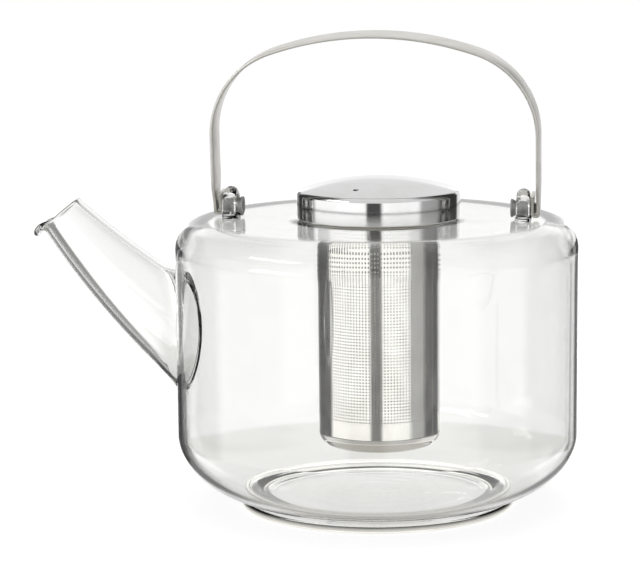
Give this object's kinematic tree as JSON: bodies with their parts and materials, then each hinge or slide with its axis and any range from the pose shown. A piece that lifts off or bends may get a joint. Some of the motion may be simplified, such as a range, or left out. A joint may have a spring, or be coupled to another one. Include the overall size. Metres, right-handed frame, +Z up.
{
  "type": "glass teapot",
  "caption": "Cylindrical clear glass teapot with angled spout, steel bail handle hinged on glass lugs, domed steel lid and a hanging steel infuser basket.",
  "frame": {"origin": "centre of the foot's flat underside, on the vessel's axis", "axes": "+Z up along the vessel's axis; the spout points along -X; the handle's arch lies in the XZ plane"},
  "size_m": [0.2056, 0.15, 0.1771],
  "materials": {
    "clear_glass": "clear blown borosilicate glass",
    "polished_steel": "mirror polished stainless steel",
    "satin_steel": "satin stainless steel sheet, finely perforated on the sleeve",
    "silicone": "translucent silicone"
  },
  "bodies": {
    "vessel": {"glass_base": "clear_glass", "glass_wall": "clear_glass", "glass_shoulder": "clear_glass", "foot_disc": "clear_glass", "spout": "clear_glass", "spout_side_lug": "clear_glass", "rear_lug": "clear_glass"},
    "handle": {"handle_strap": "polished_steel", "spout_side_pivot": "polished_steel", "rear_pivot": "polished_steel"},
    "basket": {"basket_collar": "satin_steel", "basket_sleeve": "satin_steel", "basket_cup": "satin_steel"},
    "lid": {"lid_cap": "polished_steel", "lid_liner": "satin_steel", "lid_seal": "silicone"}
  },
  "joints": [
    {"name": "handle_swing", "type": "hinge", "parent": "vessel", "child": "handle", "pos_m": [0, 0, 0.112], "axis": [1, 0, 0], "range_deg": [-74, 64]},
    {"name": "basket_lift", "type": "slide", "parent": "vessel", "child": "basket", "axis": [0, 0, 1], "range_m": [0, 0.025]},
    {"name": "lid_lift", "type": "slide", "parent": "basket", "child": "lid", "axis": [0, 0, 1], "range_m": [0, 0.02]}
  ]
}
